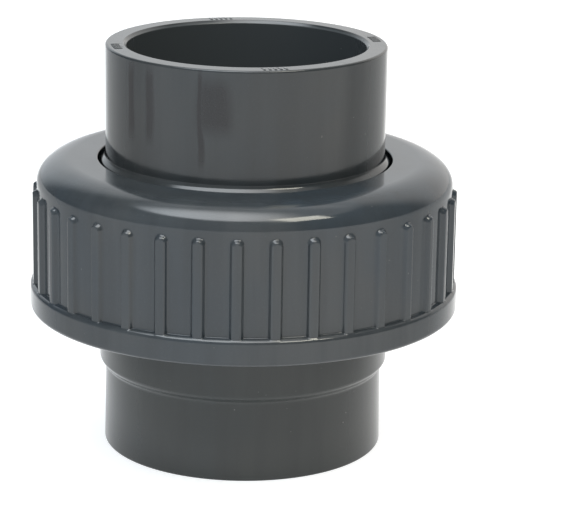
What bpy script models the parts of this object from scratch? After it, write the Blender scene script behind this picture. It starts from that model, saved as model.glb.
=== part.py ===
"""Pipe union for 63 mm solvent-cement pipe: threaded bush, O-ring, flanged union end and union nut.

Metres, +Z up the pipe's axis, origin at the centre of the bush's lower rim. The union is done up tight.
"""

import math

import bmesh
import bpy

# Pipe and sockets
PIPE_RADIUS = 0.0315
SOCKET_DEPTH = 0.0380
SOCKET_WALL = 0.0057
SOCKET_MOUTH_PLAY = 0.00015
SOCKET_TAPER = 0.0002
STOP_LEDGE = 0.0043
MOUTH_CHAMFER = 0.0008
RIM_ROUND = 0.0006

# Fits between the pieces
TOUCH_GAP = 0.0003
NECK_PLAY = 0.0009
FLANGE_PLAY = 0.0006
THREAD_PLAY = 0.0005
THREAD_SIDE_PLAY = 0.0003

# Thread, right-handed: turning the nut one turn anticlockwise from above lifts it by the pitch
THREAD_PITCH = 0.0050
THREAD_DEPTH = 0.0022
THREAD_FLANK = math.radians(30)
THREAD_ROOT_BURY = 0.0004
THREAD_RUN_OUT = 0.125

# Threaded bush
BUSH_STOP_HEIGHT = 0.0234
SOCKET_DRAFT = 0.0004
COLLAR_STEP = 0.0016
COLLAR_HEIGHT = 0.0237
COLLAR_SLOPE_HEIGHT = 0.0028
THREAD_RING_HEIGHT = 0.0184
THREAD_RING_SLOPE = 0.0025
THREAD_RING_CHAMFER = 0.0010
WATERWAY_ROUND = 0.0010

# O-ring, squeezed between its groove and the union end's flange
O_RING_CORD = 0.00534
O_RING_SQUEEZE = 0.82
GROOVE_SIDE_PLAY = 0.0005
SEAL_LAND = 0.0053

# Union end
END_STOP_HEIGHT = 0.0093
FLANGE_THICKNESS = 0.0092
FLANGE_OVERLAP = 0.0049
FLANGE_CHAMFER = 0.0008
NECK_STEP = 0.0012
NECK_SINK = 0.0006
NECK_FILLET_HEIGHT = 0.0012

# Union nut
NUT_HEIGHT = 0.0405
NUT_WALL = 0.0085
LIP_THICKNESS = 0.0071
LIP_EDGE = 0.0003
SHOULDER_WIDTH = 0.0090
SHOULDER_DROP = 0.0065
NUT_THREAD_START = 0.0024
NUT_THREAD_RELIEF = 0.0076
NUT_MOUTH_CHAMFER = 0.0012
GRIP_RIM_STEP = 0.0019
GRIP_RIM_HEIGHT = 0.0071
GRIP_RIM_TOP_ROUND = 0.0013
GRIP_RIM_ROUND = 0.0014
RIB_COUNT = 36
RIB_WIDTH = 0.0039
RIB_CREST_WIDTH = 0.0020
RIB_HEIGHT = 0.0012
RIB_BURY = 0.0006
RIB_TOP_SPACE = 0.0010
RIB_NOSE = 0.0012
RIB_START_ANGLE = math.radians(-91.8)

# Fineness of the round shapes
TURN_STEPS = 48
CORNER_STEPS = 2
FILLET_STEPS = 3
SHOULDER_STEPS = 6
RING_SECTION_STEPS = 12

# Radii that follow from the fits, outwards from the pipe
waterway_radius = PIPE_RADIUS - STOP_LEDGE
socket_radius = PIPE_RADIUS + SOCKET_WALL
neck_radius = socket_radius + NECK_STEP
lip_hole_radius = neck_radius + NECK_PLAY
flange_radius = lip_hole_radius + FLANGE_OVERLAP
nut_thread_crest = flange_radius + FLANGE_PLAY
bush_thread_root = nut_thread_crest - THREAD_PLAY
bush_thread_crest = bush_thread_root + THREAD_DEPTH
nut_thread_root = bush_thread_crest + THREAD_PLAY
barrel_radius = nut_thread_root + NUT_WALL
grip_rim_radius = barrel_radius + GRIP_RIM_STEP
collar_radius = socket_radius + COLLAR_STEP
groove_width = O_RING_CORD + 2 * GROOVE_SIDE_PLAY
groove_inner_radius = waterway_radius + SEAL_LAND
groove_outer_radius = groove_inner_radius + groove_width
o_ring_radius = (groove_inner_radius + groove_outer_radius) / 2
o_ring_height = O_RING_CORD * O_RING_SQUEEZE
groove_depth = o_ring_height + TOUCH_GAP

# Heights that follow from the stack: bush, union end on its top face, nut's lip on the flange
bush_height = SOCKET_DEPTH + BUSH_STOP_HEIGHT
end_bottom = bush_height + TOUCH_GAP
end_height = END_STOP_HEIGHT + SOCKET_DEPTH
neck_height = TOUCH_GAP + LIP_THICKNESS - NECK_SINK
nut_bottom = end_bottom + FLANGE_THICKNESS + TOUCH_GAP + LIP_THICKNESS - NUT_HEIGHT


def empty_scene():
    for obj in list(bpy.data.objects):
        bpy.data.objects.remove(obj)


def make_collection(name):
    collection = bpy.data.collections.new(name)
    bpy.context.scene.collection.children.link(collection)
    return collection


def plastic(name, colour, roughness):
    material = bpy.data.materials.new(name)
    material.use_nodes = True
    shader = material.node_tree.nodes["Principled BSDF"]
    shader.inputs["Base Color"].default_value = (*colour, 1.0)
    shader.inputs["Roughness"].default_value = roughness
    shader.inputs["Metallic"].default_value = 0.0
    return material


def arc(centre, radii, start, end, steps):
    """Points of an elliptical arc, as (radius, height); angles in degrees, 0 outwards and 90 upwards."""
    points = []
    for step in range(steps + 1):
        angle = math.radians(start + (end - start) * step / steps)
        points.append((centre[0] + radii[0] * math.cos(angle), centre[1] + radii[1] * math.sin(angle)))
    return points


def turned(name, profile, collection):
    """A ring turned from a closed profile of (radius, height) points that runs down its outer side."""
    mesh = bpy.data.meshes.new(name)
    count = len(profile)
    points = [(radius, 0.0, height) for radius, height in profile]
    mesh.from_pydata(points, [(i, (i + 1) % count) for i in range(count)], [])
    obj = bpy.data.objects.new(name, mesh)
    collection.objects.link(obj)
    screw = obj.modifiers.new("Turn", "SCREW")
    screw.steps = TURN_STEPS
    screw.render_steps = TURN_STEPS
    screw.use_merge_vertices = True
    screw.merge_threshold = 0.00001
    return obj


def loft(mesh, sections):
    """Adds one closed solid to the bmesh: a skin over sections of equally many points, and two caps."""
    rings = [[mesh.verts.new(point) for point in section] for section in sections]
    count = len(rings[0])
    for lower, upper in zip(rings, rings[1:]):
        for i in range(count):
            j = (i + 1) % count
            mesh.faces.new((lower[i], lower[j], upper[j], upper[i]))
    mesh.faces.new(rings[0])
    mesh.faces.new(rings[-1])


def helper(name, mesh, collection):
    """An object made of the bmesh's solids, faces out, which is joined to a piece and not shown by itself."""
    bmesh.ops.recalc_face_normals(mesh, faces=mesh.faces)
    data = bpy.data.meshes.new(name)
    mesh.to_mesh(data)
    mesh.free()
    obj = bpy.data.objects.new(name, data)
    collection.objects.link(obj)
    obj.hide_render = True
    obj.display_type = "WIRE"
    return obj


def unite(piece, other):
    other.parent = piece
    boolean = piece.modifiers.new(other.name, "BOOLEAN")
    boolean.operation = "UNION"
    boolean.solver = "EXACT"
    boolean.object = other


def settle(piece, material):
    """Applies the piece's modifiers, shades its round faces smooth and gives it its material."""
    graph = bpy.context.evaluated_depsgraph_get()
    mesh = bpy.data.meshes.new_from_object(piece.evaluated_get(graph))
    piece.modifiers.clear()
    piece.data = mesh
    mesh.shade_smooth()
    mesh.set_sharp_from_angle(angle=math.radians(30))
    mesh.materials.clear()
    mesh.materials.append(material)


def bush_ridge_width(radius):
    """Height of the bush's thread ridge at this radius; ridge and groove are equal half-way up the thread."""
    half_way = (bush_thread_root + bush_thread_crest) / 2
    return THREAD_PITCH / 2 - 2 * (radius - half_way) * math.tan(THREAD_FLANK)


def nut_ridge_width(radius):
    """Height of the nut's thread ridge at this radius: what the bush's ridges leave, less the side play."""
    return THREAD_PITCH - bush_ridge_width(radius) - 2 * THREAD_SIDE_PLAY


def thread_ridge(name, radii, width_at, span, phase, collection):
    """A helical ridge, sunk a little into the wall at its root and running out at both ends.

    radii is (root, crest), span is (lowest, highest) of its centre line, and phase is a height at which that
    line crosses the +X axis.
    """
    root, crest = radii
    outward = 1 if crest > root else -1
    sunk = root - outward * THREAD_ROOT_BURY
    faded = root - outward * THREAD_ROOT_BURY / 2
    first = math.ceil((span[0] - phase) / THREAD_PITCH * TURN_STEPS)
    last = math.floor((span[1] - phase) / THREAD_PITCH * TURN_STEPS)
    fade_steps = THREAD_RUN_OUT * TURN_STEPS
    sections = []
    for step in range(first, last + 1):
        angle = 2 * math.pi * step / TURN_STEPS
        centre = phase + THREAD_PITCH * step / TURN_STEPS
        growth = min(1.0, (step - first) / fade_steps, (last - step) / fade_steps)
        tip = faded + (crest - faded) * growth
        section = []
        for radius, side in ((sunk, -1), (tip, -1), (tip, 1), (sunk, 1)):
            height = centre + side * width_at(radius) / 2
            section.append((radius * math.cos(angle), radius * math.sin(angle), height))
        sections.append(section)
    mesh = bmesh.new()
    loft(mesh, sections)
    return helper(name, mesh, collection)


def grip_ribs(collection):
    """Upright ribs round the barrel, from inside the grip rim to a sloping nose below the shoulder."""
    inner = barrel_radius - RIB_BURY
    outer = barrel_radius + RIB_HEIGHT
    top = NUT_HEIGHT - SHOULDER_DROP - RIB_TOP_SPACE
    levels = [
        (GRIP_RIM_HEIGHT - RIB_NOSE - GRIP_RIM_TOP_ROUND, outer, RIB_CREST_WIDTH),
        (top - RIB_NOSE, outer, RIB_CREST_WIDTH),
        (top, barrel_radius - RIB_BURY / 2, RIB_CREST_WIDTH / 2),
    ]
    mesh = bmesh.new()
    for rib in range(RIB_COUNT):
        angle = RIB_START_ANGLE + 2 * math.pi * rib / RIB_COUNT
        across = (-math.sin(angle), math.cos(angle))
        sections = []
        for height, crest, crest_width in levels:
            base_width = crest_width + RIB_WIDTH - RIB_CREST_WIDTH
            section = []
            for radius, offset in (
                (inner, -base_width / 2),
                (crest, -crest_width / 2),
                (crest, crest_width / 2),
                (inner, base_width / 2),
            ):
                x = radius * math.cos(angle) + offset * across[0]
                y = radius * math.sin(angle) + offset * across[1]
                section.append((x, y, height))
            sections.append(section)
        loft(mesh, sections)
    return helper("grip_ribs", mesh, collection)


def socket_profile(mouth, stop):
    """The bore of a socket from its stop to its mouth, with the stop's ledge; mouth and stop are heights."""
    outwards = 1 if mouth > stop else -1
    mouth_radius = PIPE_RADIUS + SOCKET_MOUTH_PLAY
    return [
        (waterway_radius, stop),
        (mouth_radius - SOCKET_TAPER, stop),
        (mouth_radius, mouth - outwards * MOUTH_CHAMFER),
        (mouth_radius + MOUTH_CHAMFER, mouth),
    ]


def threaded_bush(parts, helpers):
    collar_low = COLLAR_HEIGHT - COLLAR_SLOPE_HEIGHT
    ring_low = bush_height - THREAD_RING_HEIGHT
    mouth_outer = socket_radius + SOCKET_DRAFT
    groove_floor = bush_height - groove_depth
    profile = [
        (groove_outer_radius, bush_height),
        (bush_thread_root - THREAD_RING_CHAMFER, bush_height),
        (bush_thread_root, bush_height - THREAD_RING_CHAMFER),
        (bush_thread_root, ring_low + THREAD_RING_SLOPE),
        (bush_thread_root - THREAD_RING_SLOPE, ring_low),
        (collar_radius, ring_low),
        (collar_radius, COLLAR_HEIGHT),
        (socket_radius, collar_low),
    ]
    profile += arc((mouth_outer - RIM_ROUND, RIM_ROUND), (RIM_ROUND, RIM_ROUND), 0, -90, CORNER_STEPS)
    profile += reversed(socket_profile(0.0, SOCKET_DEPTH))
    profile += [
        (waterway_radius, bush_height - WATERWAY_ROUND),
        (waterway_radius + WATERWAY_ROUND, bush_height),
        (groove_inner_radius, bush_height),
        (groove_inner_radius, groove_floor),
        (groove_outer_radius, groove_floor),
    ]
    bush = turned("threaded_bush", profile, parts)
    half_ridge = bush_ridge_width(bush_thread_root) / 2
    span = (ring_low + THREAD_RING_SLOPE + half_ridge, bush_height - THREAD_RING_CHAMFER - half_ridge)
    radii = (bush_thread_root, bush_thread_crest)
    unite(bush, thread_ridge("bush_thread", radii, bush_ridge_width, span, 0.0, helpers))
    return bush


def o_ring(parts):
    """The ring's cord, squeezed from round to an oval that the flange and the groove's floor touch."""
    half_width = groove_width / 2 - TOUCH_GAP
    section = arc((o_ring_radius, 0.0), (half_width, o_ring_height / 2), 90, -270, RING_SECTION_STEPS)[:-1]
    ring = turned("o_ring", section, parts)
    ring.location.z = bush_height - o_ring_height / 2
    return ring


def union_end(parts):
    """Heights are from the flange's sealing face."""
    neck_top = FLANGE_THICKNESS + neck_height
    rim_centre = (socket_radius - RIM_ROUND, end_height - RIM_ROUND)
    fillet_centre = (neck_radius, neck_top + NECK_FILLET_HEIGHT)
    profile = arc(rim_centre, (RIM_ROUND, RIM_ROUND), 90, 0, CORNER_STEPS)
    profile += arc(fillet_centre, (NECK_STEP, NECK_FILLET_HEIGHT), 180, 270, FILLET_STEPS)
    profile += [
        (neck_radius, FLANGE_THICKNESS),
        (flange_radius - FLANGE_CHAMFER, FLANGE_THICKNESS),
        (flange_radius, FLANGE_THICKNESS - FLANGE_CHAMFER),
        (flange_radius, FLANGE_CHAMFER),
        (flange_radius - FLANGE_CHAMFER, 0.0),
        (waterway_radius + WATERWAY_ROUND, 0.0),
        (waterway_radius, WATERWAY_ROUND),
    ]
    profile += socket_profile(end_height, END_STOP_HEIGHT)
    end = turned("union_end", profile, parts)
    end.location.z = end_bottom
    return end


def union_nut(parts, helpers):
    """Heights are from the nut's lower rim."""
    shoulder_centre = (barrel_radius - SHOULDER_WIDTH, NUT_HEIGHT - SHOULDER_DROP)
    ledge_centre = (barrel_radius, GRIP_RIM_HEIGHT - GRIP_RIM_TOP_ROUND)
    foot_centre = (grip_rim_radius - GRIP_RIM_ROUND, GRIP_RIM_ROUND)
    cavity_top = NUT_HEIGHT - LIP_THICKNESS
    profile = [(lip_hole_radius, NUT_HEIGHT - LIP_EDGE), (lip_hole_radius + LIP_EDGE, NUT_HEIGHT)]
    profile += arc(shoulder_centre, (SHOULDER_WIDTH, SHOULDER_DROP), 90, 0, SHOULDER_STEPS)
    profile += arc(ledge_centre, (GRIP_RIM_STEP, GRIP_RIM_TOP_ROUND), 90, 0, FILLET_STEPS)
    profile += arc(foot_centre, (GRIP_RIM_ROUND, GRIP_RIM_ROUND), 0, -90, FILLET_STEPS)
    profile += [
        (nut_thread_root + NUT_MOUTH_CHAMFER, 0.0),
        (nut_thread_root, NUT_MOUTH_CHAMFER),
        (nut_thread_root, cavity_top),
        (lip_hole_radius, cavity_top),
    ]
    nut = turned("union_nut", profile, parts)
    # The nut's ridge lies half a pitch above the bush's, in its groove.
    phase = THREAD_PITCH / 2 - nut_bottom
    half_ridge = nut_ridge_width(nut_thread_root) / 2
    span = (NUT_THREAD_START + half_ridge, cavity_top - NUT_THREAD_RELIEF - half_ridge)
    radii = (nut_thread_root, nut_thread_crest)
    unite(nut, grip_ribs(helpers))
    unite(nut, thread_ridge("nut_thread", radii, nut_ridge_width, span, phase, helpers))
    nut.location.z = nut_bottom
    return nut


def main():
    empty_scene()
    parts = make_collection("pipe_union")
    helpers = make_collection("joined_shapes")
    helpers.hide_render = True
    pieces = [
        (threaded_bush(parts, helpers), plastic("bush_pvc", (0.075, 0.080, 0.082), 0.40)),
        (o_ring(parts), plastic("ring_rubber", (0.012, 0.012, 0.012), 0.60)),
        (union_end(parts), plastic("end_pvc", (0.080, 0.085, 0.086), 0.32)),
        (union_nut(parts, helpers), plastic("nut_pvc", (0.078, 0.087, 0.093), 0.32)),
    ]
    bpy.context.view_layer.update()
    for piece, material in pieces:
        settle(piece, material)


main()
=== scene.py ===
"""The pipe union's looks: fine meshes and moulded-plastic materials for its four pieces.

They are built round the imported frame, in metres, with +Z up the pipe's axis and the camera on the -Y side.
Azimuths go round from -Y, positive towards +X.
"""

import math

import bpy
import numpy as np
from mathutils import Matrix, Vector


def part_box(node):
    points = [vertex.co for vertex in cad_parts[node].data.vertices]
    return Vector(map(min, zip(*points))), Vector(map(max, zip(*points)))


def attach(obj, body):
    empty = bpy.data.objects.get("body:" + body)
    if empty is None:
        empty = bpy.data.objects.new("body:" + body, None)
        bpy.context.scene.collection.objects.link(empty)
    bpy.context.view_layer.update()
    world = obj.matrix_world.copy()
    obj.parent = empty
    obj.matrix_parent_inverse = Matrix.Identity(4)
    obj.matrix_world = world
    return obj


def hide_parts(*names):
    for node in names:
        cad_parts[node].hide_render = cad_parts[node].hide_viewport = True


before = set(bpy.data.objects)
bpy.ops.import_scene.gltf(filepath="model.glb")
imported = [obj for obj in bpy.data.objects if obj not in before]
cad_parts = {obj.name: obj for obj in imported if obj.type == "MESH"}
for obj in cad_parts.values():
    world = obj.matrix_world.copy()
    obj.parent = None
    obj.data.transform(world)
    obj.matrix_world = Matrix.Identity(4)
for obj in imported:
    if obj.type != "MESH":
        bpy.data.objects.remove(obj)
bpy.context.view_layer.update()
bush_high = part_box("threaded_bush")[1]
ring_low, ring_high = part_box("o_ring")
end_low, end_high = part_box("union_end")
nut_low, nut_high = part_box("union_nut")

# Sockets and waterway, the same on both halves
PIPE_RADIUS = 0.0315
SOCKET_RADIUS = 0.0372
SOCKET_DEPTH = 0.0380
SOCKET_MOUTH_PLAY = 0.00015
SOCKET_TAPER = 0.0002
STOP_LEDGE = 0.0043
MOUTH_CHAMFER = 0.0008
RIM_ROUND = 0.0006
WATERWAY_ROUND = 0.0010
waterway_radius = PIPE_RADIUS - STOP_LEDGE

# Thread
THREAD_PITCH = 0.0050
THREAD_DEPTH = 0.0022
THREAD_PLAY = 0.0005
THREAD_SIDE_PLAY = 0.0003
THREAD_FLANK = math.radians(30)
THREAD_BURY = 0.0004
THREAD_FADE_TURNS = 0.16
# How much of a ridge's height the rounding of its crest takes
THREAD_CREST_ROUND = 0.4
bush_thread_crest = bush_high.x
bush_thread_root = bush_thread_crest - THREAD_DEPTH
nut_thread_root = bush_thread_crest + THREAD_PLAY
nut_thread_crest = bush_thread_root + THREAD_PLAY

# Threaded bush
SOCKET_DRAFT = 0.0004
COLLAR_STEP = 0.0016
COLLAR_HEIGHT = 0.0237
COLLAR_SLOPE_HEIGHT = 0.0028
THREAD_RING_HEIGHT = 0.0184
THREAD_RING_SLOPE = 0.0025
THREAD_RING_CHAMFER = 0.0010
TOUCH_GAP = 0.0003
SEAL_LAND = 0.0053
groove_inner_radius = waterway_radius + SEAL_LAND
groove_outer_radius = ring_high.x + TOUCH_GAP
groove_floor = ring_low.z - TOUCH_GAP

# Union end
NECK_RADIUS = 0.0384
NECK_SINK = 0.0006
# The neck narrows to the socket in a rounded chamfer, where the CAD has a fillet of the same height.
NECK_STEP_HEIGHT = 0.0012
NECK_ROUND = 0.0012
FLANGE_THICKNESS = 0.0092
FLANGE_ROUND = 0.0008
neck_top = nut_high.z - NECK_SINK

# Union nut
NECK_PLAY = 0.0009
LIP_THICKNESS = 0.0071
NUT_WALL = 0.0085
SHOULDER_WIDTH = 0.0090
SHOULDER_DROP = 0.0065
NUT_MOUTH_CHAMFER = 0.0012
NUT_THREAD_START = 0.0024
NUT_THREAD_RELIEF = 0.0076
GRIP_RIM_HEIGHT = 0.0071
GRIP_RIM_TOP_ROUND = 0.0013
GRIP_RIM_ROUND = 0.0011
LEDGE_FILLET = 0.0003
RIB_COUNT = 36
RIB_WIDTH = 0.0039
RIB_CREST_WIDTH = 0.0020
RIB_HEIGHT = 0.0012
RIB_TOP_SPACE = 0.0012
RIB_START_ANGLE = math.radians(-91.8)
lip_hole_radius = NECK_RADIUS + NECK_PLAY
barrel_radius = nut_thread_root + NUT_WALL
barrel_top = nut_high.z - SHOULDER_DROP
cavity_top = nut_high.z - LIP_THICKNESS
ledge_top = nut_low.z + GRIP_RIM_HEIGHT
ledge_foot = ledge_top - GRIP_RIM_TOP_ROUND
rib_nose_centre = barrel_top - RIB_TOP_SPACE - RIB_WIDTH / 2

# Raised size marks on the upper rim: plain bars in place of the moulded lettering
MARK_GROUPS = 4
MARK_BARS = 5
MARK_AZIMUTH = math.radians(12)
MARK_SPACING = math.radians(2.3)
MARK_SIZE = (0.0007, 0.0022, 0.00015)

# Dark upright streaks on the upper socket: azimuth and half width in degrees, lowest and highest place in
# metres, strength
DARK_STREAKS = [
    (-52.0, 3.0, 0.089, 0.107, 0.95),
    (-40.5, 2.8, 0.089, 0.107, 0.90),
    (-17.5, 1.6, 0.084, 0.108, 0.90),
    (-12.0, 9.5, 0.093, 0.106, 0.80),
]
DARK_STREAK_FADE = 0.003

# Colours of the plastics and of specks of dust on them
BUSH_COLOUR = (0.021, 0.026, 0.026)
END_COLOUR = (0.034, 0.039, 0.042)
NUT_COLOUR = (0.040, 0.048, 0.055)
DUST = (0.22, 0.22, 0.21, 1.0)

# Light from the left is cooler than light from the right.
COOL = (0.93, 1.0, 1.06, 1.0)
WARM = (1.04, 1.0, 0.96, 1.0)

# A rectangular light, as a window would give: azimuth and elevation in degrees, then metres and watts
WINDOW_DIRECTION = (46, 57.0)
WINDOW_DISTANCE = 1.5
WINDOW_SIZE = (0.56, 0.42)
WINDOW_COLOUR = (1.0, 0.97, 0.84)
WINDOW_POWER = 6.6

# The floor, and how far in front of the union its fan of light begins, in metres
FLOOR_HALF_WIDTH = 6.0
FAN_START = 0.68

# The camera: millimetres of lens, metres, then degrees
LENS = 158.6
CAMERA_DISTANCE = 0.6841
AIM_HEIGHT = 0.05208
CAMERA_ELEVATION = 15.74
CAMERA_YAW = -0.99
CAMERA_PITCH = -0.09
CAMERA_ROLL = 0.69

# Small roundings of moulded corners, and how finely the meshes are cut
EDGE_ROUND = 0.0003
INNER_ROUND = 0.0005
ROUND_STEP = math.radians(15)
# How much of a side the arc at one of its corners may take
MOST_ROUNDED = 0.48
LONG_RUN = 0.0008
HOLD = 0.00015
COLUMNS = 360
THREAD_STEPS = 120
FLANK_COLUMNS = 6
NOSE_ROWS = 11


# Meshes

def arc(centre, radii, start, end, steps):
    """Corners of an elliptical arc, not to be rounded; angles in degrees, 0 outwards and 90 upwards."""
    corners = []
    for step in range(steps + 1):
        angle = math.radians(start + (end - start) * step / steps)
        radius = centre[0] + radii[0] * math.cos(angle)
        height = centre[1] + radii[1] * math.sin(angle)
        corners.append((radius, height, 0.0))
    return corners


def rounded(outline):
    """Points of a closed outline, whose (radius, height, rounding) corners each become an arc."""
    places = [np.array(corner[:2]) for corner in outline]
    points = []
    for i, corner in enumerate(places):
        rounding = outline[i][2]
        if rounding == 0.0:
            points.append(corner)
            continue
        back = places[i - 1] - corner
        ahead = places[(i + 1) % len(places)] - corner
        room = MOST_ROUNDED * min(np.linalg.norm(back), np.linalg.norm(ahead))
        back /= np.linalg.norm(back)
        ahead /= np.linalg.norm(ahead)
        half_opening = math.acos(np.clip(back @ ahead, -1.0, 1.0)) / 2
        reach = min(rounding / math.tan(half_opening), room)
        bisector = (back + ahead) / np.linalg.norm(back + ahead)
        centre = corner + bisector * reach / math.cos(half_opening)
        first = corner + back * reach - centre
        last = corner + ahead * reach - centre
        turn = math.pi - 2 * half_opening
        steps = max(2, round(turn / ROUND_STEP))
        for step in range(steps + 1):
            share = step / steps
            blend = math.sin((1 - share) * turn) * first + math.sin(share * turn) * last
            points.append(centre + blend / math.sin(turn))
    return points


def held(points):
    """The closed line of points, with one more near each end of a long run, so that flats shade flat."""
    kept = []
    for i, point in enumerate(points):
        kept.append(point)
        run = points[(i + 1) % len(points)] - point
        length = np.linalg.norm(run)
        if length > LONG_RUN:
            kept.append(point + run * HOLD / length)
            kept.append(point + run * (1 - HOLD / length))
    return kept


def skin(rings, capped):
    """Vertices and faces over rings of equally many points; uncapped, the last ring joins the first."""
    count, size = rings.shape[:2]
    index = np.arange(count * size).reshape(count, size)
    ahead = index[1:] if capped else np.roll(index, -1, axis=0)
    here = index[:-1] if capped else index
    faces = np.stack([here, ahead, np.roll(ahead, -1, axis=1), np.roll(here, -1, axis=1)], axis=-1)
    faces = faces.reshape(-1, 4).tolist()
    if capped:
        faces.append(index[0].tolist())
        faces.append(index[-1][::-1].tolist())
    return rings.reshape(-1, 3), faces


def add_object(name, vertices, faces):
    mesh = bpy.data.meshes.new(name)
    mesh.from_pydata(vertices, [], faces)
    obj = bpy.data.objects.new(name, mesh)
    bpy.context.scene.collection.objects.link(obj)
    return obj


def turned(name, outline, angles, relief=None):
    """A ring turned from a closed outline that runs down its outer side; relief may change its radii."""
    points = np.array(held(rounded(outline)))
    radii = np.repeat(points[:, :1], len(angles), axis=1)
    heights = np.repeat(points[:, 1:], len(angles), axis=1)
    if relief is not None:
        radii = relief(radii, heights, angles)
    rings = np.stack([radii * np.cos(angles), radii * np.sin(angles), heights], axis=-1)
    return add_object(name, *skin(rings, capped=False))


def unite(piece, other):
    """Joins other into piece for good."""
    boolean = piece.modifiers.new("Join", "BOOLEAN")
    boolean.operation = "UNION"
    boolean.solver = "MANIFOLD"
    boolean.object = other
    graph = bpy.context.evaluated_depsgraph_get()
    mesh = bpy.data.meshes.new_from_object(piece.evaluated_get(graph))
    mesh.materials.clear()
    piece.modifiers.clear()
    piece.data = mesh
    bpy.data.objects.remove(other)


def smooth(piece):
    piece.data.shade_smooth()
    piece.data.set_sharp_from_angle(angle=math.radians(35))
    return piece


def even_angles(count):
    return np.arange(count) * 2 * math.pi / count


def smooth_step(share):
    share = np.clip(share, 0.0, 1.0)
    return share * share * (3 - 2 * share)


# Thread

def bush_ridge_width(radius):
    """Height of the bush's thread ridge at this radius; half-way out, ridge and groove are equal."""
    half_way = (bush_thread_root + bush_thread_crest) / 2
    return THREAD_PITCH / 2 - 2 * (radius - half_way) * math.tan(THREAD_FLANK)


def nut_ridge_width(radius):
    return THREAD_PITCH - bush_ridge_width(radius) - 2 * THREAD_SIDE_PLAY


def thread_ridge(radii, width_at, span, phase):
    """A helical ridge from (root, crest) radii, with a rounded crest, that fades out at both ends.

    span is (lowest, highest) of its centre line, which crosses the +X axis at the height phase.
    """
    root, crest = radii
    outward = 1 if crest > root else -1
    sunk = root - outward * THREAD_BURY
    faded = root - outward * THREAD_BURY / 2
    first = math.ceil((span[0] - phase) / THREAD_PITCH * THREAD_STEPS)
    last = math.floor((span[1] - phase) / THREAD_PITCH * THREAD_STEPS)
    fade_steps = THREAD_FADE_TURNS * THREAD_STEPS
    rings = []
    for step in range(first, last + 1):
        angle = 2 * math.pi * step / THREAD_STEPS
        centre = THREAD_PITCH * step / THREAD_STEPS + phase
        growth = smooth_step(min(step - first, last - step) / fade_steps)
        tip = faded + (crest - faded) * growth
        rounding = THREAD_CREST_ROUND * abs(tip - sunk)
        half_tip = width_at(tip) / 2
        half_root = width_at(sunk) / 2
        section = rounded([
            (sunk, -half_root, 0.0),
            (tip, -half_tip, rounding),
            (tip, half_tip, rounding),
            (sunk, half_root, 0.0),
        ])
        rings.append([(r * math.cos(angle), r * math.sin(angle), centre + z) for r, z in section])
    rings = np.array(rings)
    if outward > 0:
        rings = rings[:, ::-1]
    return add_object("thread_ridge", *skin(rings, capped=True))


# Pieces

def bore_outline(mouth, stop):
    """The bore of a socket from its stop's ledge to its mouth; mouth and stop are heights."""
    outwards = 1 if mouth > stop else -1
    mouth_radius = PIPE_RADIUS + SOCKET_MOUTH_PLAY
    return [
        (waterway_radius, stop, EDGE_ROUND),
        (mouth_radius - SOCKET_TAPER, stop, INNER_ROUND),
        (mouth_radius, mouth - outwards * MOUTH_CHAMFER, EDGE_ROUND),
        (mouth_radius + MOUTH_CHAMFER, mouth, EDGE_ROUND),
    ]


def collar_slope():
    """The soft step from the collar down to the socket's wall."""
    corners = []
    steps = 12
    for step in range(steps + 1):
        fall = smooth_step(step / steps)
        height = COLLAR_HEIGHT - COLLAR_SLOPE_HEIGHT * step / steps
        corners.append((SOCKET_RADIUS + COLLAR_STEP * (1 - fall), height, 0.0))
    return corners


def moulded_bush():
    top = bush_high.z
    ring_foot = top - THREAD_RING_HEIGHT
    outline = [
        (groove_outer_radius, top, EDGE_ROUND),
        (bush_thread_root - THREAD_RING_CHAMFER, top, EDGE_ROUND),
        (bush_thread_root, top - THREAD_RING_CHAMFER, EDGE_ROUND),
        (bush_thread_root, ring_foot + THREAD_RING_SLOPE, INNER_ROUND),
        (bush_thread_root - THREAD_RING_SLOPE, ring_foot, INNER_ROUND),
        (SOCKET_RADIUS + COLLAR_STEP, ring_foot, INNER_ROUND),
    ]
    outline += collar_slope()
    outline += [(SOCKET_RADIUS + SOCKET_DRAFT, 0.0, RIM_ROUND)]
    outline += reversed(bore_outline(0.0, SOCKET_DEPTH))
    outline += [
        (waterway_radius, top, WATERWAY_ROUND),
        (groove_inner_radius, top, EDGE_ROUND),
        (groove_inner_radius, groove_floor, INNER_ROUND),
        (groove_outer_radius, groove_floor, INNER_ROUND),
    ]
    bush = turned("moulded_bush", outline, even_angles(COLUMNS))
    half_ridge = bush_ridge_width(bush_thread_root) / 2
    span = (ring_foot + THREAD_RING_SLOPE + half_ridge, top - THREAD_RING_CHAMFER - half_ridge)
    unite(bush, thread_ridge((bush_thread_root, bush_thread_crest), bush_ridge_width, span, 0.0))
    return smooth(bush)


def rubber_ring():
    """The O-ring, squeezed flat where the groove's floor and the flange press on it."""
    centre_radius = (groove_inner_radius + groove_outer_radius) / 2
    half_width = ring_high.x - centre_radius
    half_height = (ring_high.z - ring_low.z) / 2
    middle = (ring_high.z + ring_low.z) / 2
    squareness = 0.86
    steps = 40
    outline = []
    for step in range(steps):
        angle = math.pi / 2 - 2 * math.pi * step / steps
        across = math.copysign(abs(math.cos(angle)) ** squareness, math.cos(angle))
        up = math.copysign(abs(math.sin(angle)) ** squareness, math.sin(angle))
        outline.append((centre_radius + half_width * across, middle + half_height * up, 0.0))
    return smooth(turned("rubber_ring", outline, even_angles(COLUMNS)))


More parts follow.
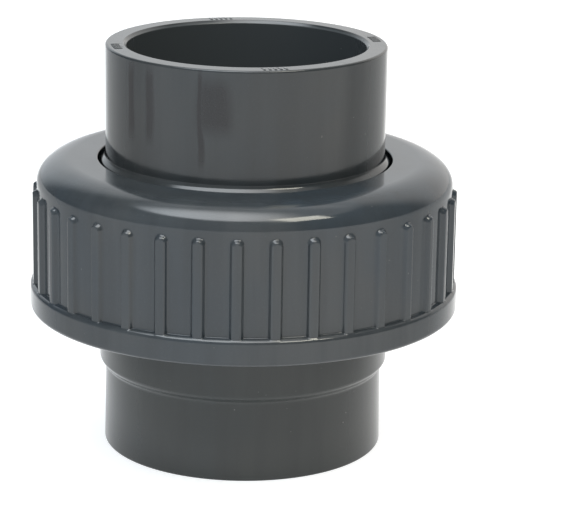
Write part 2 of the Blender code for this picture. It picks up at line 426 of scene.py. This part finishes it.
def mark_bar(azimuth):
    """One raised bar on the upper rim, across its width, with chamfered edges."""
    width, length, rise = MARK_SIZE
    middle = (SOCKET_RADIUS + PIPE_RADIUS + MOUTH_CHAMFER) / 2
    outward = Vector((math.sin(azimuth), -math.cos(azimuth), 0.0))
    across = Vector((math.cos(azimuth), math.sin(azimuth), 0.0))
    rings = []
    for height, shrink in ((-rise, 0.0), (rise * 0.4, 0.0), (rise, rise)):
        ring = []
        for side, end in ((-1, -1), (1, -1), (1, 1), (-1, 1)):
            place = outward * (middle + end * (length / 2 - shrink))
            place += across * side * (width / 2 - shrink)
            ring.append((place.x, place.y, end_high.z + height))
        rings.append(ring)
    return add_object("mark_bar", *skin(np.array(rings)[:, ::-1], capped=True))


def moulded_end():
    flange_top = end_low.z + FLANGE_THICKNESS
    outline = [
        (SOCKET_RADIUS, end_high.z, RIM_ROUND),
        (SOCKET_RADIUS, neck_top + NECK_STEP_HEIGHT, NECK_ROUND),
        (NECK_RADIUS, neck_top, EDGE_ROUND),
        (NECK_RADIUS, flange_top, INNER_ROUND),
        (end_high.x, flange_top, FLANGE_ROUND),
        (end_high.x, end_low.z, FLANGE_ROUND),
        (waterway_radius, end_low.z, WATERWAY_ROUND),
    ]
    outline += bore_outline(end_high.z, end_high.z - SOCKET_DEPTH)
    end = turned("moulded_end", outline, even_angles(COLUMNS))
    for group in range(MARK_GROUPS):
        for bar in range(MARK_BARS):
            offset = (bar - (MARK_BARS - 1) / 2) * MARK_SPACING
            unite(end, mark_bar(MARK_AZIMUTH + group * 2 * math.pi / MARK_GROUPS + offset))
    return smooth(end)


def rib_columns():
    """Angles of the nut's mesh columns, close together on the flanks of each rib."""
    flank = np.linspace(RIB_CREST_WIDTH / 2, RIB_WIDTH / 2, FLANK_COLUMNS)
    half_space = math.pi * barrel_radius / RIB_COUNT
    one_side = np.concatenate([[RIB_CREST_WIDTH / 4], flank, [0.6 * half_space, 0.8 * half_space]])
    offsets = np.concatenate([-one_side[::-1], [0.0], one_side, [half_space]]) / barrel_radius
    starts = RIB_START_ANGLE + np.arange(RIB_COUNT) * 2 * math.pi / RIB_COUNT
    return (starts[:, None] + offsets[None, :]).ravel()


def grip_relief(radii, heights, angles):
    """Raises the ribs from the barrel: round flanks and a round nose; their feet run into the ledge."""
    spacing = 2 * math.pi / RIB_COUNT
    from_rib = (angles - RIB_START_ANGLE + spacing / 2) % spacing - spacing / 2
    beyond_nose = np.maximum(0.0, heights - rib_nose_centre)
    distance = np.hypot(from_rib * barrel_radius, beyond_nose)
    flank_width = (RIB_WIDTH - RIB_CREST_WIDTH) / 2
    rise = RIB_HEIGHT * smooth_step((RIB_WIDTH / 2 - distance) / flank_width)
    excess = np.maximum(0.0, radii - barrel_radius)
    sharpness = 8
    joined = barrel_radius + (excess**sharpness + rise**sharpness) ** (1 / sharpness)
    on_barrel = (radii > barrel_radius - 1e-6) & (heights > ledge_foot - 1e-6)
    return np.where(on_barrel, np.minimum(joined, nut_high.x), radii)


def moulded_nut():
    shoulder_centre = (barrel_radius - SHOULDER_WIDTH, barrel_top)
    outline = [(lip_hole_radius, nut_high.z, EDGE_ROUND)]
    outline += arc(shoulder_centre, (SHOULDER_WIDTH, SHOULDER_DROP), 90, 0, steps=20)
    nose_top = rib_nose_centre + RIB_WIDTH / 2
    nose_rows = np.linspace(nose_top, rib_nose_centre + RIB_CREST_WIDTH / 4, NOSE_ROWS)
    plain_rows = np.linspace(rib_nose_centre, ledge_top + 2 * LEDGE_FILLET, 3)
    outline += [(barrel_radius, height, 0.0) for height in (*nose_rows, *plain_rows)]
    fillet_centre = (barrel_radius + LEDGE_FILLET, ledge_top + LEDGE_FILLET)
    outline += arc(fillet_centre, (LEDGE_FILLET, LEDGE_FILLET), 180, 270, steps=4)
    ledge_radii = (nut_high.x - barrel_radius - LEDGE_FILLET, GRIP_RIM_TOP_ROUND)
    outline += arc((barrel_radius + LEDGE_FILLET, ledge_foot), ledge_radii, 90, 0, steps=10)[1:]
    foot_centre = (nut_high.x - GRIP_RIM_ROUND, nut_low.z + GRIP_RIM_ROUND)
    outline += arc(foot_centre, (GRIP_RIM_ROUND, GRIP_RIM_ROUND), 0, -90, steps=8)
    outline += [
        (nut_thread_root + NUT_MOUTH_CHAMFER, nut_low.z, EDGE_ROUND),
        (nut_thread_root, nut_low.z + NUT_MOUTH_CHAMFER, EDGE_ROUND),
        (nut_thread_root, cavity_top, INNER_ROUND),
        (lip_hole_radius, cavity_top, EDGE_ROUND),
    ]
    nut = turned("moulded_nut", outline, rib_columns(), grip_relief)
    half_ridge = nut_ridge_width(nut_thread_root) / 2
    span = (nut_low.z + NUT_THREAD_START + half_ridge, cavity_top - NUT_THREAD_RELIEF - half_ridge)
    radii = (nut_thread_root, nut_thread_crest)
    # The nut's ridge lies half a pitch above the bush's, in its groove.
    unite(nut, thread_ridge(radii, nut_ridge_width, span, THREAD_PITCH / 2))
    return smooth(nut)


# Materials

class Nodes:
    """Short calls that add nodes to a material's or the world's tree."""

    def __init__(self, owner):
        owner.use_nodes = True
        self.tree = owner.node_tree
        self.tree.nodes.clear()

    def add(self, kind, inputs=None, **settings):
        """A node with its settings and inputs; an input is a value or another node's output."""
        node = self.tree.nodes.new(kind)
        for name, value in settings.items():
            setattr(node, name, value)
        for name, value in (inputs or {}).items():
            if isinstance(value, bpy.types.NodeSocket):
                self.tree.links.new(value, node.inputs[name])
            else:
                node.inputs[name].default_value = value
        return node

    def maths(self, operation, first, second=0.0):
        return self.add("ShaderNodeMath", {0: first, 1: second}, operation=operation).outputs[0]

    def noise(self, vector, scale, detail=2.0, roughness=0.5):
        inputs = {"Vector": vector, "Scale": scale, "Detail": detail, "Roughness": roughness}
        return self.add("ShaderNodeTexNoise", inputs).outputs["Fac"]

    def stretched(self, vector, scale, rotation=(0.0, 0.0, 0.0)):
        inputs = {"Vector": vector, "Scale": scale, "Rotation": rotation}
        return self.add("ShaderNodeMapping", inputs).outputs["Vector"]

    def ramp(self, value, low, high, to_low=0.0, to_high=1.0):
        """value from low..high to to_low..to_high, with soft ends."""
        inputs = {
            "Value": value,
            "From Min": low,
            "From Max": high,
            "To Min": to_low,
            "To Max": to_high,
        }
        node = self.add("ShaderNodeMapRange", inputs, interpolation_type="SMOOTHSTEP")
        return node.outputs["Result"]

    def mix(self, factor, first, second):
        """The two colours mixed; the Mix node's colour sockets are its inputs 6 and 7 and its output 2."""
        return self.add(
            "ShaderNodeMix", {0: factor, 6: first, 7: second}, data_type="RGBA"
        ).outputs[2]

    def bump(self, height, distance, normal=None):
        inputs = {"Height": height, "Distance": distance, "Strength": 1.0}
        if normal is not None:
            inputs["Normal"] = normal
        return self.add("ShaderNodeBump", inputs).outputs["Normal"]


def scaled(colour, factor):
    return (*(channel * factor for channel in colour), 1.0)


def streaks(nodes, place, marks):
    """How much of any dark streak is at place; marks is a list of streaks like the upper socket's."""
    axes = nodes.add("ShaderNodeSeparateXYZ", {"Vector": place}).outputs
    azimuth = nodes.maths("ARCTAN2", axes["X"], nodes.maths("MULTIPLY", axes["Y"], -1.0))
    bends = nodes.noise(nodes.stretched(place, (1.0, 1.0, 0.3)), 110.0, 4.0)
    wander = nodes.ramp(bends, 0.3, 0.7, -0.016, 0.016)
    azimuth = nodes.maths("ADD", azimuth, wander)
    most = 0.0
    for middle, half_width, lowest, highest, strength in marks:
        aside = nodes.maths("ABSOLUTE", nodes.maths("SUBTRACT", azimuth, math.radians(middle)))
        core = math.radians(half_width * 0.3)
        beside = nodes.ramp(aside, core, math.radians(half_width), strength, 0.0)
        above = nodes.ramp(axes["Z"], lowest - DARK_STREAK_FADE, lowest + DARK_STREAK_FADE)
        below = nodes.ramp(axes["Z"], highest - DARK_STREAK_FADE, highest + DARK_STREAK_FADE, 1.0, 0.0)
        mark = nodes.maths("MULTIPLY", beside, nodes.maths("MULTIPLY", above, below))
        most = nodes.maths("MAXIMUM", mark, most)
    return most


def moulded_pvc(name, colour, roughness, peel, marks=()):
    """Dark grey moulded PVC: mottled colour, upright flow lines, rubbed edges, dust, hair scratches.

    peel is the depth of its orange peel, and marks is a list of dark streaks like the upper socket's. Inside
    the bores the plastic is duller, and its paler colour there is painted fill light.
    """
    material = bpy.data.materials.new(name)
    nodes = Nodes(material)
    place = nodes.add("ShaderNodeTexCoord").outputs["Object"]
    level = nodes.stretched(place, (1.0, 1.0, 0.0))
    radius = nodes.add("ShaderNodeVectorMath", {0: level}, operation="LENGTH").outputs["Value"]
    bore = nodes.ramp(radius, PIPE_RADIUS + 0.0003, PIPE_RADIUS + 0.0008, 1.0, 0.0)

    # Colour
    clouds = nodes.noise(place, 22.0, 3.0)
    cool = scaled((colour[0] * 0.92, colour[1], colour[2] * 1.06), 0.94)
    warm = scaled((colour[0] * 1.06, colour[1], colour[2] * 0.94), 1.05)
    base = nodes.mix(nodes.ramp(clouds, 0.35, 0.65), cool, warm)
    flow = nodes.noise(nodes.stretched(place, (1.0, 1.0, 0.10)), 160.0, 3.0)
    base = nodes.mix(nodes.ramp(flow, 0.35, 0.70, 0.0, 0.6), base, scaled(colour, 0.72))
    mark_colour = scaled((colour[0] * 1.1, colour[1] * 0.8, colour[2]), 0.15)
    base = nodes.mix(streaks(nodes, place, marks), base, mark_colour)
    # Painted fill light: a paler colour inside the bores
    base = nodes.mix(bore, base, scaled(colour, 1.7))
    grain = nodes.noise(place, 2600.0, 2.0)
    base = nodes.mix(nodes.ramp(grain, 0.55, 0.80, 0.0, 0.25), base, scaled(colour, 1.5))
    bend = nodes.add("ShaderNodeNewGeometry").outputs["Pointiness"]
    patches = nodes.ramp(clouds, 0.35, 0.7, 0.3, 1.0)
    rubbed = nodes.maths("MULTIPLY", nodes.ramp(bend, 0.51, 0.58), patches)
    base = nodes.mix(nodes.maths("MULTIPLY", rubbed, 0.35), base, scaled(colour, 2.0))
    specks = nodes.ramp(nodes.noise(place, 900.0, 1.0), 0.79, 0.83, 0.0, 0.3)
    base = nodes.mix(specks, base, DUST)

    # Gloss
    smears = nodes.noise(nodes.stretched(place, (1.0, 1.0, 0.35)), 60.0, 4.0, 0.6)
    dull = nodes.ramp(smears, 0.35, 0.75, roughness - 0.03, roughness + 0.08)
    dull = nodes.maths("ADD", dull, nodes.maths("MULTIPLY", rubbed, 0.12))
    dull = nodes.maths("ADD", dull, nodes.maths("MULTIPLY", specks, 0.4))
    dull = nodes.maths("ADD", dull, nodes.maths("MULTIPLY", bore, 0.12))

    # Hair scratches in two directions
    along = nodes.stretched(place, (1.0, 1.0, 0.03), (0.5, 0.3, 0.0))
    across = nodes.stretched(place, (1.0, 1.0, 0.03), (1.3, -0.4, 0.6))
    hairs = nodes.maths("MAXIMUM", nodes.noise(along, 900.0, 1.0), nodes.noise(across, 900.0, 1.0))
    hairs = nodes.ramp(hairs, 0.77, 0.83)
    dull = nodes.maths("ADD", dull, nodes.maths("MULTIPLY", hairs, 0.10))

    # Relief: orange peel, grain and the scratches
    normal = nodes.bump(nodes.noise(place, 330.0, 2.0), peel)
    normal = nodes.bump(grain, 0.0000010, normal)
    normal = nodes.bump(hairs, -0.0000020, normal)
    shader = nodes.add("ShaderNodeBsdfPrincipled", {
        "Base Color": base,
        "Roughness": dull,
        "Normal": normal,
        "IOR": 1.53,
    })
    nodes.add("ShaderNodeOutputMaterial", {"Surface": shader.outputs["BSDF"]})
    return material


def rubber(name):
    """Black rubber with a fine grain and a trace of grease."""
    material = bpy.data.materials.new(name)
    nodes = Nodes(material)
    place = nodes.add("ShaderNodeTexCoord").outputs["Object"]
    clouds = nodes.noise(place, 90.0, 3.0)
    grain = nodes.noise(place, 2200.0, 3.0)
    black = (0.010, 0.010, 0.010, 1.0)
    greased = (0.017, 0.016, 0.016, 1.0)
    base = nodes.mix(nodes.ramp(clouds, 0.3, 0.7), black, greased)
    shader = nodes.add("ShaderNodeBsdfPrincipled", {
        "Base Color": base,
        "Roughness": nodes.ramp(clouds, 0.35, 0.65, 0.32, 0.55),
        "Normal": nodes.bump(grain, 0.000008),
        "IOR": 1.52,
    })
    nodes.add("ShaderNodeOutputMaterial", {"Surface": shader.outputs["BSDF"]})
    return material


def floor_paper():
    """Pale paper over a light table, so that shadows stay faint.

    It shines in front of the union and, behind it, in a fan that opens away from the camera. Under the
    union it shines a little more than elsewhere.
    """
    material = bpy.data.materials.new("floor_paper")
    nodes = Nodes(material)
    place = nodes.add("ShaderNodeTexCoord").outputs["Object"]
    fibres = nodes.noise(place, 300.0, 3.0)
    base = nodes.mix(fibres, (0.46, 0.46, 0.46, 1.0), (0.48, 0.48, 0.48, 1.0))
    axes = nodes.add("ShaderNodeSeparateXYZ", {"Vector": place}).outputs
    from_start = nodes.maths("ADD", axes["Y"], FAN_START)
    spread = nodes.maths("DIVIDE", nodes.maths("ABSOLUTE", axes["X"]), from_start)
    fan = nodes.ramp(spread, 0.12, 0.24, 0.50, 0.0)
    ahead = nodes.ramp(axes["Y"], -0.15, 0.05, 0.50, 0.0)
    distance = nodes.add("ShaderNodeVectorMath", {0: place}, operation="LENGTH").outputs["Value"]
    under = nodes.ramp(distance, 0.045, 0.085, 0.34, 0.12)
    glow = nodes.maths("ADD", nodes.maths("MAXIMUM", fan, ahead), under)
    tint = nodes.mix(nodes.ramp(axes["X"], -0.3, 0.3), COOL, WARM)
    shader = nodes.add("ShaderNodeBsdfPrincipled", {
        "Base Color": base,
        "Roughness": 0.9,
        "Emission Color": tint,
        "Emission Strength": glow,
    })
    nodes.add("ShaderNodeOutputMaterial", {"Surface": shader.outputs["BSDF"]})
    return material


# Studio

def direction(azimuth, elevation):
    azimuth, elevation = math.radians(azimuth), math.radians(elevation)
    level = math.cos(elevation)
    return Vector((math.sin(azimuth) * level, -math.cos(azimuth) * level, math.sin(elevation)))


def studio_dome():
    """Soft light from all round: a pale backdrop, a big soft box overhead, a dim room.

    The camera itself sees plain white.
    """
    world = bpy.data.worlds.new("studio")
    bpy.context.scene.world = world
    nodes = Nodes(world)
    ray = nodes.add("ShaderNodeTexCoord").outputs["Generated"]

    def glow(azimuth, elevation, core, end, strength):
        """Light round one direction: even inside the angle core, gone beyond the angle end."""
        inputs = {0: ray, 1: direction(azimuth, elevation)}
        aim = nodes.add("ShaderNodeVectorMath", inputs, operation="DOT_PRODUCT").outputs["Value"]
        return nodes.ramp(aim, math.cos(math.radians(end)), math.cos(math.radians(core)), 0.0, strength)

    backdrop = glow(azimuth=168, elevation=15, core=35, end=60, strength=0.90)
    wall = glow(azimuth=-35, elevation=8, core=25, end=75, strength=0.42)
    room = nodes.maths("ADD", wall, 0.12)
    lamp = glow(azimuth=-40, elevation=69, core=5, end=36, strength=5.20)
    soft_box = nodes.maths("ADD", lamp, 0.70)
    frame_of_box = glow(azimuth=0, elevation=90, core=30, end=36, strength=1.0)
    overhead = nodes.maths("MULTIPLY", soft_box, frame_of_box)
    total = nodes.maths("ADD", overhead, nodes.maths("ADD", backdrop, room))
    sideways = nodes.add("ShaderNodeSeparateXYZ", {"Vector": ray}).outputs["X"]
    tint = nodes.mix(nodes.ramp(sideways, -0.7, 0.7), COOL, WARM)
    light = nodes.add("ShaderNodeBackground", {"Color": tint, "Strength": total})
    plain = nodes.add("ShaderNodeBackground", {"Color": (1.0, 1.0, 1.0, 1.0), "Strength": 1.0})
    seen = nodes.add("ShaderNodeLightPath").outputs["Is Camera Ray"]
    both = nodes.add("ShaderNodeMixShader", {0: seen, 1: light.outputs[0], 2: plain.outputs[0]})
    nodes.add("ShaderNodeOutputWorld", {"Surface": both.outputs[0]})


def window_light():
    """A small warm rectangle, high on the right, that gives the crisp highlight on the nut's shoulder."""
    data = bpy.data.lights.new("window", "AREA")
    data.shape = "RECTANGLE"
    data.size, data.size_y = WINDOW_SIZE
    data.color = WINDOW_COLOUR
    data.energy = WINDOW_POWER
    light = bpy.data.objects.new("window", data)
    bpy.context.scene.collection.objects.link(light)
    target = Vector((0.0, 0.0, nut_high.z))
    light.location = target + direction(*WINDOW_DIRECTION) * WINDOW_DISTANCE
    light.rotation_euler = (target - light.location).to_track_quat("-Z", "Y").to_euler()


def floor():
    half = FLOOR_HALF_WIDTH
    corners = [(-half, -half, 0.0), (half, -half, 0.0), (half, half, 0.0), (-half, half, 0.0)]
    paper = add_object("floor", corners, [(0, 1, 2, 3)])
    paper.data.materials.append(floor_paper())


def camera():
    """A long lens aimed down at the union's middle, then turned a little to frame it as in the photo."""
    data = bpy.data.cameras.new("camera")
    data.sensor_width = 36.0
    data.sensor_fit = "HORIZONTAL"
    data.lens = LENS
    obj = bpy.data.objects.new("camera", data)
    bpy.context.scene.collection.objects.link(obj)
    place = Vector((0.0, 0.0, AIM_HEIGHT)) + direction(0, CAMERA_ELEVATION) * CAMERA_DISTANCE
    turn = Matrix.Rotation(math.radians(90 - CAMERA_ELEVATION), 4, "X")
    turn = turn @ Matrix.Rotation(math.radians(CAMERA_YAW), 4, "Y")
    turn = turn @ Matrix.Rotation(math.radians(CAMERA_PITCH), 4, "X")
    turn = turn @ Matrix.Rotation(math.radians(CAMERA_ROLL), 4, "Z")
    obj.matrix_world = Matrix.Translation(place) @ turn
    bpy.context.scene.camera = obj


# The union

camera()
floor()
studio_dome()
window_light()
bpy.context.scene.view_settings.view_transform = "Standard"

bush = moulded_bush()
bush.data.materials.append(moulded_pvc("bush_pvc", BUSH_COLOUR, roughness=0.16, peel=0.000008))
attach(bush, "bush")
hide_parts("threaded_bush")

ring = rubber_ring()
ring.data.materials.append(rubber("ring_rubber"))
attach(ring, "bush")
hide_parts("o_ring")

end = moulded_end()
end_pvc = moulded_pvc("end_pvc", END_COLOUR, roughness=0.11, peel=0.000006, marks=DARK_STREAKS)
end.data.materials.append(end_pvc)
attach(end, "end")
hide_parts("union_end")

nut = moulded_nut()
nut.data.materials.append(moulded_pvc("nut_pvc", NUT_COLOUR, roughness=0.12, peel=0.000007))
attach(nut, "nut")
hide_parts("union_nut")
